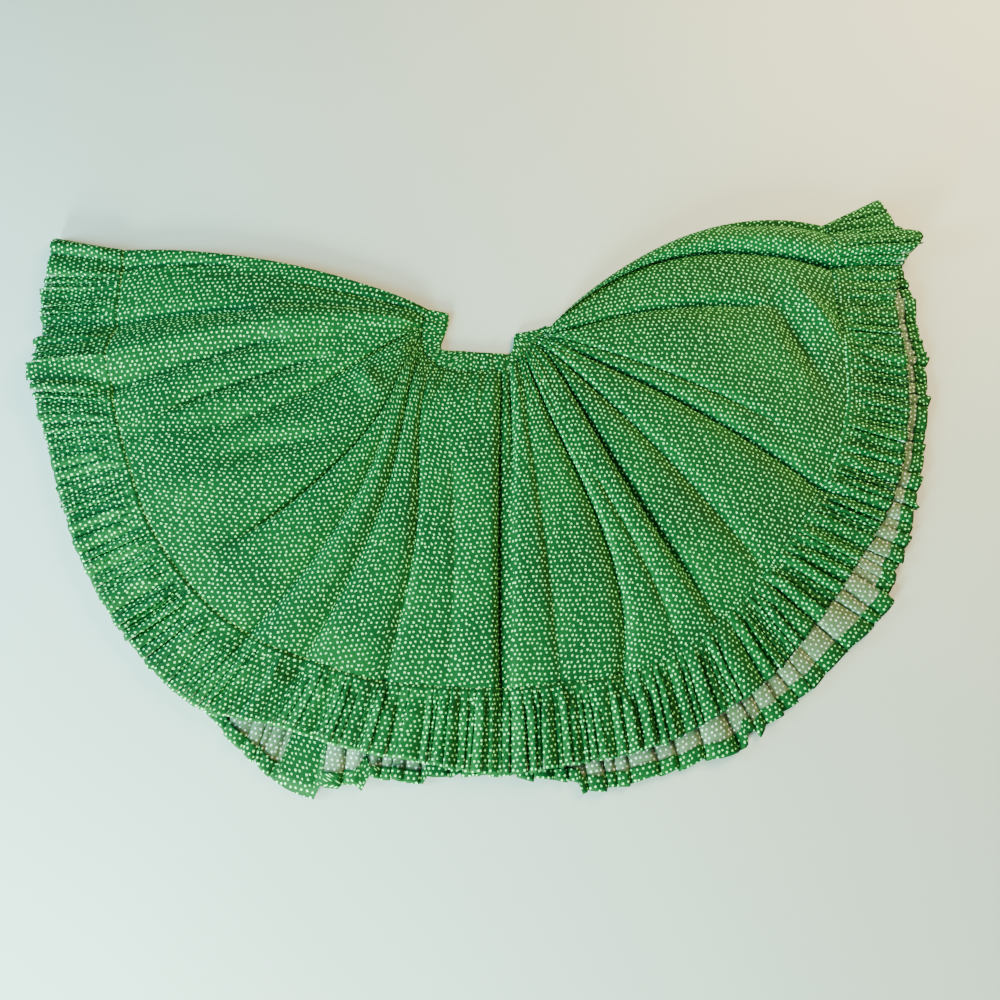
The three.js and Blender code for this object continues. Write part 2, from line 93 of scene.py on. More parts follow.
@dataclass(frozen=True)
class Line:
    """A line that the cloth follows from the waist to the hem, in millimetres.

    Points are from the middle of the front waist edge: the waistband's top edge and lower
    seam, half way down the gore, the ruffle seam, the front hem and the back hem.
    """

    casing: Point
    waist: Point
    middle: Point
    seam: Point
    hem: Point
    under: Point


# Round the fan, from the left side fold to the right one.
LINES = (
    Line((-74, 58), (-106, 64), (-334, 136), (-569, 153), (-676, 173), (-671, 166)),
    Line((-74, 42), (-112, 52), (-346, 96), (-564, 85), (-679, 82), (-671, 83)),
    Line((-79, 22), (-115, 34), (-350, 48), (-565, 19), (-671, 9), (-664, 9)),
    Line((-84, 7), (-115, 14), (-346, -6), (-566, -36), (-666, -47), (-658, -44)),
    Line((-84, -2), (-112, -5), (-340, -67), (-549, -104), (-660, -100), (-652, -104)),
    Line((-77, -4), (-108, -15), (-322, -129), (-520, -184), (-618, -210), (-611, -211)),
    Line((-70, -5), (-101, -23), (-289, -190), (-474, -285), (-566, -330), (-560, -330)),
    Line((-64, -5), (-93, -29), (-251, -239), (-402, -376), (-490, -438), (-486, -437)),
    Line((-57, -5), (-84, -34), (-214, -268), (-328, -431), (-398, -520), (-390, -523)),
    Line((-50, -5), (-74, -38), (-171, -289), (-249, -462), (-294, -545), (-288, -610)),
    Line((-38, -6), (-58, -40), (-120, -298), (-166, -487), (-192, -576), (-182, -620)),
    Line((-18, -7), (-29, -40), (-66, -302), (-83, -496), (-95, -594), (-90, -614)),
    Line((5, -8), (6, -37), (2, -299), (4, -499), (4, -609), (4, -611)),
    Line((17, -9), (27, -24), (60, -289), (80, -492), (88, -598), (88, -616)),
    Line((23, -2), (39, -11), (108, -265), (173, -479), (190, -580), (194, -616)),
    Line((25, 12), (47, -1), (155, -235), (257, -442), (286, -540), (300, -584)),
    Line((27, 24), (54, 7), (202, -195), (333, -384), (392, -468), (426, -502)),
    Line((36, 27), (60, 13), (247, -143), (410, -300), (497, -347), (546, -387)),
    Line((45, 29), (66, 18), (281, -81), (482, -197), (578, -229), (614, -236)),
    Line((53, 31), (70, 23), (300, -24), (521, -92), (617, -109), (650, -112)),
    Line((60, 33), (73, 27), (311, 35), (529, 0), (627, -12), (665, -12)),
    Line((66, 35), (76, 30), (316, 92), (526, 84), (624, 91), (660, 88)),
    Line((70, 37), (78, 32), (313, 150), (529, 150), (645, 154), (651, 150)),
    Line((72, 38), (79, 34), (310, 178), (530, 186), (672, 198), (650, 190)),
    Line((73, 39), (80, 36), (307, 194), (530, 211), (644, 227), (636, 222)),
    Line((74, 40), (81, 38), (304, 203), (526, 228), (626, 281), (618, 272)),
)


@dataclass(frozen=True)
class Fold:
    """A crease of the front, from the waist to the hem, and the fold on its right.

    waist and seam: where the crease leaves the waist and crosses the ruffle seam, in rows of
    LINES. bend: how soon it fans out from the waist. bow: how far it bows to the right half
    way. It has its full depth from start to full and is gone at end, counted 0 at the waist,
    1 at the seam and 2 at the hem. deep: its depth, as a share of the height of the folds
    beside it. height: of the fold on its right at the seam, in millimetres. crest: how far
    across that fold the crest lies. flat: how flat its top is. lean: how far the crest falls
    to the right, in millimetres.
    """

    waist: float
    seam: float
    bend: float
    bow: float
    start: float
    full: float
    end: float
    deep: float
    height: float
    crest: float = 0.5
    flat: float = 2.4
    lean: float = 0.0


FOLDS = (
    Fold(0.0, 0.0, 1, 0, 0.0, 3.0, 4.0, 0.0, 9, 0.5, 3.0),
    Fold(0.3, 0.55, 1, 0, 0.72, 1.4, 2.0, 0.9, 9, 0.5, 5.0),
    Fold(0.9, 0.85, 1, 0, 0.0, 0.3, 0.5, 0.6, 12, 0.7, 3.0),
    Fold(1.5, 1.93, 4, 0, 0.6, 1.9, 2.4, 1.0, 21, 0.5, 1.6),
    Fold(2.2, 3.68, 1, 0, 0.5, 1.0, 1.9, 0.8, 14, 0.5, 3.4),
    Fold(3.1, 4.45, 1, 0, 0.38, 0.7, 0.9, 0.9, 13, 0.5, 4.4),
    Fold(2.25, 4.72, 4.5, 0, 0.0, 0.35, 0.85, 1.0, 17, 0.55, 4.6, 6),
    Fold(2.6, 6.62, 12, 0, 0.0, 0.6, 0.9, 1.0, 15, 0.4, 5.0),
    Fold(3.4, 7.92, 7, 0, 0.3, 0.9, 1.7, 0.9, 15, 0.5, 2.6),
    Fold(4.2, 8.88, 7, 0, 0.0, 1.0, 1.9, 0.9, 12, 0.45, 4.0),
    Fold(6.6, 10.2, 5, 0, 0.1, 0.8, 1.5, 0.8, 10, 0.5, 5.0),
    Fold(9.4, 11.2, 4, 0, 0.3, 0.8, 1.1, 0.35, 13, 0.8, 3.0),
    Fold(12.0, 12.0, 1, 0, 0.0, 1.3, 2.0, 1.0, 6, 0.5, 2.4),
    Fold(12.5, 12.2, 1, 0, 0.0, 0.2, 0.4, 1.0, 13, 0.4, 4.0),
    Fold(13.1, 13.05, 1, 0, 0.15, 0.8, 1.2, 0.35, 11, 0.5, 4.0),
    Fold(14.1, 13.95, 1, 0.6, 0.0, 1.0, 1.7, 0.9, 13, 0.5, 4.0),
    Fold(14.6, 14.9, 1, 0.3, 0.5, 0.8, 1.1, 0.35, 15, 0.55, 3.2),
    Fold(16.6, 15.60, 5, 0, 0.0, 0.75, 1.1, 0.9, 12, 0.4, 4.0),
    Fold(16.8, 16.55, 1, 0, 0.0, 0.8, 1.1, 0.7, 13, 0.5, 4.0),
    Fold(17.9, 17.82, 1, 0.05, 0.15, 1.0, 1.6, 1.0, 11, 0.5, 4.0),
    Fold(18.7, 18.25, 1, 0, 0.1, 0.6, 0.9, 0.5, 15, 0.3, 7.0),
    Fold(19.0, 20.72, 10, 0, 0.0, 0.6, 0.85, 1.0, 15, 0.4, 4.5),
    Fold(24.2, 21.95, 2, 0, 0.08, 2.4, 3.0, 1.0, 25, 0.5, 2.2, -7),
    Fold(24.2, 24.0, 4, 0, 0.7, 2.4, 3.0, 0.9, 6, 0.5, 3.0),
)


@dataclass(frozen=True)
class Swell:
    """A low rise of the front that crosses its folds, placed and sized in millimetres."""

    middle: Point
    along: Point
    wide: float
    height: float


SWELLS = (
    Swell((496, 56), (34, -52), 16, 12),
    Swell((460, 18), (36, -76), 20, -13),
    Swell((-190, -56), (14, -26), 18, 6),
    Swell((-318, -160), (82, 22), 16, -8),
    Swell((-400, -215), (70, 24), 30, 4),
    Swell((300, 22), (80, 10), 40, 4),
)


@dataclass(frozen=True)
class Step:
    """A stretch of hem that a pleat pushes out, between two places counted in LINES.

    start and end: how far out it is at each of them, in millimetres. calm: share of its
    gathers that is pulled flat. turned: how many hem widths more of it are turned back.
    """

    first: float
    last: float
    start: float
    end: float
    calm: float = 0.0
    turned: float = 0.0


FRONT_STEPS = (
    Step(1.02, 1.35, 6, 2, 0.6),
    Step(1.35, 1.9, 2, 0),
    Step(2.1, 2.5, 4, 5),
    Step(2.93, 3.5, 14, 11, 0.9),
    Step(3.5, 4.3, 0, 3),
    Step(4.75, 5.3, 0, 3),
)
BACK_STEPS = (
    Step(8.95, 9.53, 2, 13, 0.3),
    Step(9.03, 9.53, 0, 0, 0.4, 3.0),
    Step(9.98, 10.12, 7, 8, 0.5, 1.5),
    Step(10.12, 10.93, -7, 5, 0.2),
    Step(10.93, 11.3, -3, -2),
    Step(13.2, 14.0, 11, 0, 0.2),
    Step(14.9, 15.28, 1, 8),
    Step(16.4, 17.1, 0, 6),
    Step(17.5, 18.0, 0, 5),
    Step(20.4, 21.0, -5, -1),
)


class Side(Enum):
    """Which half of the skirt, as seen from above with the waist at the top."""

    LEFT = "left"
    RIGHT = "right"


class Layer(Enum):
    """Which of the two layers that lie on each other."""

    FRONT = "front"
    BACK = "back"


class GatherShape(Enum):
    """Where the crest of a gather lies between its two creases, from and to."""

    ROUND = (0.38, 0.62)
    MIXED = (0.45, 0.85)


def smooth(value: Grid, low: float, high: float) -> Grid:
    """Smooth step of value from 0 at low to 1 at high."""
    x = np.clip((value - low) / (high - low), 0.0, 1.0)
    return x * x * (3.0 - 2.0 * x)


def between(edges: Grid, turn: Grid) -> tuple[Grid, Grid]:
    """The crease before each turn, and how far each turn is on the way to the next, 0 to 1."""
    k = np.clip(np.searchsorted(edges, turn + TINY, side="right") - 1, 0, len(edges) - 2)
    return k, np.clip((turn - edges[k]) / np.maximum(edges[k + 1] - edges[k], TINY), 0, 1)


def off_crest(phase: Grid, crest: Grid) -> Grid:
    """How far each phase between two creases is from the crest, 0 on it and 1 at a crease."""
    return np.where(phase < crest, 1 - phase / crest, (phase - crest) / (1 - crest))


# ---------------- the lay of the cloth
class Lay:
    """The plan of the skirt as it lies, as smooth curves through its lines."""

    def __init__(self, lines: tuple[Line, ...], folds: tuple[Fold, ...]) -> None:
        """Measures the lines and centres the plan on the frame's origin.

        Args:
            lines: the lines round the fan, in millimetres.
            folds: the creases and folds of the front.
        """
        names = Line.__dataclass_fields__
        self.rows = {n: np.array([getattr(line, n) for line in lines]) * MM for n in names}
        steps = np.linalg.norm(np.diff(self.rows["seam"], axis=0), axis=1)
        self.seam_length = float(steps.sum())
        self.turns = np.concatenate([[0.0], np.cumsum(steps)]) / self.seam_length
        self.centre = float(self.turns[CENTRE_LINE])
        self.edge = EDGE_ROLL / self.seam_length
        self.apart = CREASES_APART / self.seam_length
        every = np.linspace(0, 1, 2000)
        rim = np.concatenate([self.along("hem", every), self.along("under", every)])
        self.shift = -(rim.min(axis=0) + rim.max(axis=0)) / 2
        for row in self.rows.values():
            row += self.shift
        self.folds = {
            n: np.array([getattr(fold, n) for fold in folds]) for n in Fold.__dataclass_fields__
        }

    def turn_of(self, line: float | Grid) -> Grid:
        """Share round the fan of a place counted in lines, such as 6.5."""
        return np.interp(line, np.arange(len(self.turns)), self.turns)

    def along(self, name: str, turn: Grid) -> Grid:
        """Points of a named row of the lines at any shares round the fan.

        Args:
            name: a field of Line.
            turn: shares round the fan, from 0 to 1, in a grid of any shape.

        Returns:
            One [x, y] for each turn, in metres.
        """
        points, turns = self.rows[name], self.turns
        last = len(turns) - 1
        before = np.maximum(np.arange(last + 1) - 1, 0)
        after = np.minimum(np.arange(last + 1) + 1, last)
        slope = (points[after] - points[before]) / (turns[after] - turns[before])[:, None]
        i = np.clip(np.searchsorted(turns, turn, side="right") - 1, 0, last - 1)
        span = (turns[i + 1] - turns[i])[..., None]
        f = (turn - turns[i])[..., None] / span
        return (
            points[i] * (2 * f**3 - 3 * f**2 + 1)
            + slope[i] * span * (f**3 - 2 * f**2 + f)
            + points[i + 1] * (3 * f**2 - 2 * f**3)
            + slope[i + 1] * span * (f**3 - f**2)
        )

    def gore(self, turn: Grid, down: Grid) -> Grid:
        """Plan of the gores, from the waist seam at down 0 to the ruffle seam at 1."""
        w, m, s = (self.along(n, turn) for n in ("waist", "middle", "seam"))
        d = down[None, :, None]
        return w * (1 - d) * (1 - 2 * d) + m * 4 * d * (1 - d) + s * d * (2 * d - 1)

    def strip(self, start: str, end: str, turn: Grid, down: Grid) -> Grid:
        """Plan of a strip between two rows of the lines, straight across.

        Args:
            start: row at down 0.
            end: row at down 1.
            turn: [turn][row] shares round the fan.
            down: [row] or [turn][row] shares of the strip's depth.

        Returns:
            [turn][row][x, y].
        """
        a, b = self.along(start, turn), self.along(end, turn)
        return a + (b - a) * (np.ones_like(turn) * down)[..., None]

    def creases(self, down: Grid) -> Grid:
        """Turns of the creases and of the last side fold, [crease][row]."""
        left = 1 - np.minimum(down, 1.0)
        waist, seam, bend, bow = (self.folds[n][:, None] for n in ("waist", "seam", "bend", "bow"))
        line = seam + (waist - seam) * left**bend + bow * 4 * left * (1 - left)
        edges = np.concatenate([self.turn_of(line), np.ones((1, len(down)))])
        apart = np.arange(len(edges))[:, None] * self.apart
        return np.minimum.accumulate((edges - apart)[::-1])[::-1] + apart

    def half(self, side: Side, inset: float) -> tuple[float, float]:
        """First and last turn of one half of the fan, inset at its side fold."""
        return (inset, self.centre) if side is Side.LEFT else (self.centre, 1 - inset)

    def side_fold(self, turn: Grid) -> Grid:
        """0 at the side folds, where the front rounds down to the floor, 1 inside them."""
        x = np.clip(np.minimum(turn, 1 - turn) / self.edge, 0, 1)
        return np.sqrt(1 - (1 - x) ** 2)


LAY = Lay(LINES, FOLDS)


def fold_columns(first: int, last: int, step: float, down: Grid) -> tuple[Grid, Grid]:
    """Columns that run along the folds, evenly spaced at the ruffle seam.

    Args:
        first: the crease to start on.
        last: the crease to end on.
        step: width of a column at the seam, in metres.
        down: rows, from 0 at the waist to 1 at the seam.

    Returns:
        [column][row] shares round the fan, and which columns lie on a crease.
    """
    edges = LAY.creases(down)
    columns, tucks = [], []
    for k in range(first, last):
        tucks.append(sum(len(group) for group in columns))
        width = (edges[k + 1, -1] - edges[k, -1]) * LAY.seam_length
        count = max(4, round(width / step))
        across = np.arange(count)[:, None] / count
        columns.append(edges[k] * (1 - across) + edges[k + 1] * across)
    return np.concatenate([*columns, edges[last : last + 1]]), np.array(tucks)


def fold_form(turn: Grid, down: Grid, plan: Grid) -> tuple[Grid, Grid]:
    """Height and sideways lean of all the front's folds.

    Args:
        turn: [turn][row] shares round the fan.
        down: 0 at the waist, 1 at the ruffle seam, 2 at the hem.
        plan: [turn][row] points, for the swells.

    Returns:
        Height and lean at each point, in metres.
    """
    fold = LAY.folds
    edges = LAY.creases(down)
    fill = FOLD_AT_WAIST + (1 - FOLD_AT_WAIST) * smooth(down, *FOLDS_FILL)
    kept = np.where(fold["height"] > TALL_FOLD, TALL_AT_HEM, LOW_AT_HEM)[:, None]
    tall = fold["height"][:, None] * MM * (smooth(down, *FOLDS_RISE) * fill)
    tall = tall * (1 - (1 - kept) * smooth(down, *FOLDS_SINK))
    before = np.concatenate([tall[:1], tall[:-1]])
    opens, opened = CREASE_OPENS
    strength = np.array([
        smooth(down, a + opens, a + opened) * (1 - smooth(down, b, c))
        for a, b, c in zip(fold["start"], fold["full"], fold["end"])
    ])
    valley = (before + tall) / 2 * (1 - strength * fold["deep"][:, None])
    valley = np.concatenate([valley, valley[-1:] * 0])
    height = np.zeros_like(turn)
    lean = np.zeros_like(turn)
    for j in range(len(down)):
        k, phase = between(edges[:, j], turn[:, j])
        crest = fold["crest"][k]
        x = off_crest(phase, crest)
        foot = np.where(phase < crest, valley[k, j], valley[k + 1, j])
        height[:, j] = tall[k, j] - (tall[k, j] - foot) * x ** fold["flat"][k]
        share = tall[k, j] / (fold["height"][k] * MM)
        lean[:, j] = fold["lean"][k] * MM * share * (1 - x**2)
    for swell in SWELLS:
        off = plan - np.array(swell.middle) * MM - LAY.shift
        axis = np.array(swell.along) * MM
        long = np.linalg.norm(axis)
        u = (off @ axis) / long**2
        v = (off[..., 0] * axis[1] - off[..., 1] * axis[0]) / long / (swell.wide * MM)
        height += swell.height * MM * np.exp(-SWELL_FALL * (u**2 + v**2))
    return np.maximum(height, 0.0), lean


def front_floor(down: Grid) -> Grid:
    """Height of the front's underside where it has no fold."""
    reach = np.minimum(down, 1.0)
    puff = PUFF * smooth(down, *PUFF_GROWS) * (1 - smooth(down, *PUFF_ENDS))
    return (CASING + 2 * SEAM_GAP) * (1 - reach) + (BACK_TOP + 2 * SEAM_GAP) * reach + puff


@dataclass(frozen=True)
class Gathers:
    """Gathers along an edge, unevenly wide and tall, each between two creases.

    uneven: spread of their widths. start and full: where they rise from at_seam, their share
    of height at the seam, and over what share of the depth. wander: how far a crease drifts,
    in gathers. lean: of a crest, as a share of its height. turned: share of them that lean the
    other way. jog: how far the free edge is pushed out. bundle: how much wide and narrow ones
    come together. flat_top: how flat a crest is before and after its middle.
    """

    count: int
    height: float
    seed: int
    shape: GatherShape = GatherShape.ROUND
    uneven: float = 0.45
    start: float = 0.05
    full: float = 0.45
    at_seam: float = 0.1
    wander: float = 0.25
    lean: float = 0.25
    turned: float = 0.35
    jog: float = 0.0
    bundle: float = 0.0
    flat_top: Point = (2.6, 2.0)

    # places of a gather's columns between its two creases
    PHASES = (0.0, 0.04, 0.1, 0.2, 0.34, 0.5, 0.66, 0.8, 0.9, 0.96)
    BUNDLE_STEPS = (0.5, 1.4)  # radians from one gather to the next, in a bundle's wave
    HEIGHTS = (0.5, 1.0)  # least and most height, as shares
    WIDTHS = (0.6, 1.3)  # how far a gather's width changes its height
    FOOT = 0.3  # most height of a crease, as a share
    LATE = 0.7  # how late a gather may begin, as a share of the rise
    JOG_CREST = 0.9  # where along a gather its jog is greatest

    def _draws(self) -> dict[str, Grid]:
        """The uneven sizes of every gather, drawn in a fixed order."""
        rng = np.random.default_rng(self.seed)
        waves = np.cumsum(rng.uniform(*self.BUNDLE_STEPS, self.count))
        wide = np.exp(rng.normal(0, self.uneven, self.count) + self.bundle * np.sin(waves))
        drift = rng.normal(0, self.wander / self.count, self.count + 1)
        drift[[0, -1]] = 0
        return {
            "at": np.concatenate([[0], np.cumsum(wide)]) / wide.sum(),
            "drift": drift,
            "tall": self.height * rng.uniform(*self.HEIGHTS, self.count) * np.clip(wide, *self.WIDTHS),
            "foot": self.height * self.FOOT * rng.random(self.count + 1),
            "begin": self.start + (self.full - self.start) * self.LATE * rng.random(self.count),
            "crest": rng.uniform(*self.shape.value, self.count),
            "turned": rng.random(self.count) < self.turned,
            "jog": self.jog * rng.normal(0, 1, self.count),
        }

    def creases(self, low: float, high: float, down: Grid) -> Grid:
        """Turns of the creases between two turns, [crease][row]."""
        draws = self._draws()
        at = draws["at"][:, None] + draws["drift"][:, None] * (np.clip(down, 0, 1) - 0.5)[None, :]
        return low + (high - low) * np.clip(np.maximum.accumulate(at, axis=0), 0, 1)

    def columns(self, low: float, high: float, down: Grid) -> Grid:
        """Turns of columns that run along the gathers, [column][row]."""
        at = self.creases(low, high, down)
        phases = np.array(self.PHASES)[None, :, None]
        inner = at[:-1, None, :] * (1 - phases) + at[1:, None, :] * phases
        return np.concatenate([inner.reshape(-1, len(down)), at[-1:]])

    def form(self, low: float, high: float, turn: Grid, down: Grid) -> tuple[Grid, Grid, Grid]:
        """Height, sideways lean and jog of the gathers between two turns.

        Args:
            low: turn where the first crease lies.
            high: turn where the last crease lies.
            turn: [turn][row] shares round the fan.
            down: 0 at the gathered seam, 1 at the free edge.

        Returns:
            Height, lean, and how far the free edge is pushed out, at each point, in metres.
        """
        draws = self._draws()
        edges = self.creases(low, high, down)
        height, lean, jog = (np.zeros_like(turn) for _ in range(3))
        for j, d in enumerate(down):
            k, phase = between(edges[:, j], turn[:, j])
            way = np.where(draws["turned"][k], -1.0, 1.0)
            p = np.where(way < 0, 1 - phase, phase)
            crest = draws["crest"][k]
            rise = 1 - off_crest(p, crest) ** np.where(p < crest, *self.flat_top)
            grown = self.at_seam + (1 - self.at_seam) * smooth(
                np.full(len(turn), d), draws["begin"][k], draws["begin"][k] + self.full
            )
            foot = draws["foot"][k] * (1 - phase) + draws["foot"][k + 1] * phase
            height[:, j] = grown * (draws["tall"][k] * rise + foot)
            lean[:, j] = grown * draws["tall"][k] * way * self.lean * rise**2
            jog[:, j] = draws["jog"][k] * (1 - off_crest(p, self.JOG_CREST))
        return height, lean, jog


PLEATS = Gathers(
    56, 7.0 * MM, 40, GatherShape.MIXED, start=0.0, full=0.3, at_seam=0.3, lean=0.5,
    jog=2.4 * MM, flat_top=(5.0, 3.5),
)
FULL_GATHERS = Gathers(
    108, 6.8 * MM, 60, GatherShape.MIXED, uneven=0.4, start=0.0, full=0.3, at_seam=0.25,
    lean=0.6, jog=1.6 * MM, bundle=0.45, flat_top=(3.8, 3.0),
)
WAIST_GATHERS = Gathers(96, 2.6 * MM, 5, at_seam=0.6, uneven=0.6, bundle=0.6)
CASING_RIPPLES = Gathers(38, 1.3 * MM, 11, at_seam=1.0, uneven=0.35, wander=0.6)


def hem_steps(steps: tuple[Step, ...], turn: Grid) -> tuple[Grid, Grid, Grid]:
    """How far steps push a hem out at each turn, in metres, how calm it is and how turned."""
    line = np.interp(turn, LAY.turns, np.arange(len(LAY.turns)))
    out, calm, turned = (np.zeros_like(turn) for _ in range(3))
    for step in steps:
        share = (line - step.first) / (step.last - step.first)
        inside = (share >= 0) & (share < 1)
        out += np.where(inside, step.start + (step.end - step.start) * share, 0.0) * MM
        comes = smooth(share, -CALM_EDGE, CALM_EDGE)
        calm += step.calm * comes * (1 - smooth(share, 1 - CALM_EDGE, 1 + CALM_EDGE))
        turned += np.where(inside, step.turned, 0.0)
    return out, np.minimum(calm, 1.0), turned


def sewn_down(turn: Grid, distance: Grid) -> Grid:
    """How far a seam pulls the cloth down, unevenly along it.

    Args:
        turn: shares round the fan.
        distance: from the seam, in metres.

    Returns:
        Depth at each point, in metres.
    """
    pulls = np.random.default_rng(SEAM_SEED).uniform(*SEAM_PULL, SEAM_PULLS + 1)
    pull = np.interp(turn, np.linspace(0, 1, SEAM_PULLS + 1), pulls)
    return SEAM_SINK * pull * np.exp(-distance / SEAM_REACH)


# ---------------- surfaces
@dataclass
class Surface:
    """A grid of points, [turn][row], with the cloth's own lengths between them.

    across and down: length of cloth to each point along the turns and along the rows.
    tucks: columns where the cloth goes into a crease. radius: of the flat cut where down is
    0, or None for a straight strip.
    """

    points: Grid
    across: Grid
    down: Grid
    tucks: Grid
    radius: float | None = None

    def corners(self) -> Grid:
        """Flat coordinates of every face's corners, [column][row][corner][u, v].

        Between two tucks the print runs straight down the cloth, and starts afresh beyond.
        """
        radius = np.ones(len(self.down[0]))
        if self.radius is not None:
            radius = self.radius + self.down.mean(axis=0)
        ends = np.append(self.tucks[1:], len(self.points) - 1)
        middle = (self.across[self.tucks] + self.across[ends]) / 2
        heading = (middle / radius).mean(axis=1)
        panel = np.searchsorted(self.tucks, np.arange(len(self.points) - 1), side="right") - 1
        near, far = slice(None, -1), slice(1, None)
        places = []
        for columns, rows in ((near, near), (near, far), (far, far), (far, near)):
            local = self.across[columns, rows] - middle[panel][:, rows]
            angle = heading[panel][:, None] + local / radius[rows]
            down = self.down[columns, rows]
            if self.radius is not None:
                reach = self.radius + down
                angle, down = reach * np.sin(angle), -reach * np.cos(angle)
            places.append(np.stack([angle, down], axis=2))
        return np.stack(places, axis=2)

    @staticmethod
    def raised(plan: Grid, height: Grid, lean: Grid | float) -> Grid:
        """Raises a plan into a surface, its crests leaning along the turns.

        Args:
            plan: [turn][row][x, y].
            height: height of each point.
            lean: how far each point is moved towards higher turns.

        Returns:
            [turn][row][x, y, z].
        """
        along = np.gradient(plan, axis=0)
        along /= np.maximum(np.linalg.norm(along, axis=2, keepdims=True), TINY)
        moved = plan + along * (np.ones_like(height) * lean)[:, :, None]
        return np.concatenate([moved, np.maximum(height, LEAST_HEIGHT)[:, :, None]], axis=2)

    def stitch_line(self, row: int) -> Grid:
        """One row of its points, moved out from the cloth for stitches."""
        across = np.gradient(self.points, axis=0)[:, row]
        down = np.gradient(self.points, axis=1)[:, row]
        out = np.cross(down, across)
        out /= np.maximum(np.linalg.norm(out, axis=1, keepdims=True), TINY)
        out *= np.where(out[:, 2:] < 0, -1, 1)
        return self.points[:, row] + out * STITCH_LIFT


def lengths(points: Grid, axis: int) -> Grid:
    """Length of cloth from the first point to each point along an axis of a grid."""
    steps = np.linalg.norm(np.diff(points, axis=axis), axis=2)
    pad = [(0, 0), (0, 0)]
    pad[axis] = (1, 0)
    return np.cumsum(np.pad(steps, pad), axis=axis)


def fan_cut(points: Grid, tucks: Grid, from_end: bool) -> Surface:
    """A flared piece cut as a sector, sized from its cloth's own lengths.

    Args:
        points: [turn][row] points, from the narrow edge to the wide one.
        tucks: columns that lie on a crease.
        from_end: whether the straight grain lies at the last turn, not the first.

    Returns:
        The piece's surface.
    """
    across, down = lengths(points, 0), lengths(points, 1)
    if from_end:
        across = across - across[-1:]
    whole = np.ptp(across, axis=0)
    radius = down[:, -1].mean() * whole[0] / (whole[-1] - whole[0])
    return Surface(points, across, down, tucks, float(radius))


def strip_cut(points: Grid, tucks: Grid, fullness: float = 1.0, hem: int | None = None) -> Surface:
    """A straight strip, sized from its cloth's own lengths.

    Args:
        points: [turn][row] points.
        tucks: columns that lie on a crease.
        fullness: how much more cloth its small gathers hold than the points show.
        hem: row after which the cloth is turned back over itself.

    Returns:
        The piece's surface.
    """
    down = lengths(points, 1)
    if hem is not None:
        down[:, hem:] = 2 * down[:, hem : hem + 1] - down[:, hem:]
    return Surface(points, lengths(points, 0) * fullness, down, tucks)


def place(name: str, data: ID) -> Object:
    """Puts a new object with this data into the scene."""
    made = bpy.data.objects.new(name, data)
    bpy.context.scene.collection.objects.link(made)
    return made


def cloth_mesh(name: str, surface: Surface, finish: "Calico", wrong_up: bool) -> Object:
    """Makes a grid of cloth a thin shell with a right and a wrong side.

    Args:
        name: name of the piece.
        surface: its points and flat coordinates.
        finish: how its two sides are dressed.
        wrong_up: whether its wrong side is the upper one.

    Returns:
        The new object, riding on the root body.
    """
    rows, columns = surface.points.shape[:2]
    index = np.arange(rows * columns).reshape(rows, columns)
    quads = np.stack([index[:-1, :-1], index[:-1, 1:], index[1:, 1:], index[1:, :-1]], axis=2)
    quads = quads.reshape(-1, 4)
    mesh = bpy.data.meshes.new(name)
    mesh.from_pydata(surface.points.reshape(-1, 3).tolist(), [], quads.tolist())
    uv = mesh.uv_layers.new(name="Flat")
    uv.data.foreach_set("uv", surface.corners().ravel())
    mesh.polygons.foreach_set("use_smooth", [True] * len(mesh.polygons))
    mesh.update()
    piece = place(name, mesh)
    for material in finish.sides(wrong_up):
        mesh.materials.append(material)
    shell = piece.modifiers.new("Cloth", "SOLIDIFY")
    shell.thickness = CLOTH
    shell.offset = -1.0
    shell.material_offset = 1
    shell.material_offset_rim = 0
    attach(piece, "root")
    LOG.info("%s: %d faces", name, len(quads))
    return piece


# ---------------- shader sockets
def maths(operation: str, *, swapped: bool = False) -> Callable[..., "Sock"]:
    """Makes a method of Sock that adds a Math node.

    Args:
        operation: what the node does.
        swapped: whether the other value comes before the socket.

    Returns:
        The method.
    """

    def method(own: "Sock", *others: "Sock | float") -> "Sock":
        """Adds the node on the socket and the other values."""
        values = [*others, own] if swapped else [own, *others]
        return node(own.tree, "ShaderNodeMath", {"operation": operation}, values)

    return method


class Sock:
    """A node socket that takes part in Python expressions."""

    def __init__(self, tree: NodeTree, socket: NodeSocket) -> None:
        """Wraps an output socket of a tree."""
        self.tree = tree
        self.socket = socket

    __add__ = maths("ADD")
    __sub__ = maths("SUBTRACT")
    __rsub__ = maths("SUBTRACT", swapped=True)
    __mul__ = maths("MULTIPLY")
    above = maths("MAXIMUM")
    sin = maths("SINE")

    def other(self, name: int | str) -> "Sock":
        """Another output of its node."""
        return Sock(self.tree, self.socket.node.outputs[name])

    def step(self, low: float, high: float) -> "Sock":
        """Smooth step from 0 at low to 1 at high."""
        settings = {"interpolation_type": "SMOOTHSTEP"}
        return node(self.tree, "ShaderNodeMapRange", settings, [self, low, high, 0.0, 1.0])

    def vector(self, operation: str, *values: object, out: int = 0) -> "Sock":
        """Adds a Vector Math node with this socket first."""
        settings = {"operation": operation}
        return node(self.tree, "ShaderNodeVectorMath", settings, [self, *values], out)

    def dot(self, x: float, y: float) -> "Sock":
        """How far this vector reaches along another."""
        return self.vector("DOT_PRODUCT", (x, y, 0.0), out=1)

    def blend(self, first: object, second: object) -> "Sock":
        """Mixes two colours by this socket."""
        settings = {"data_type": "RGBA", "clamp_factor": True}
        return node(self.tree, "ShaderNodeMix", settings, {0: self, 6: first, 7: second}, 2)


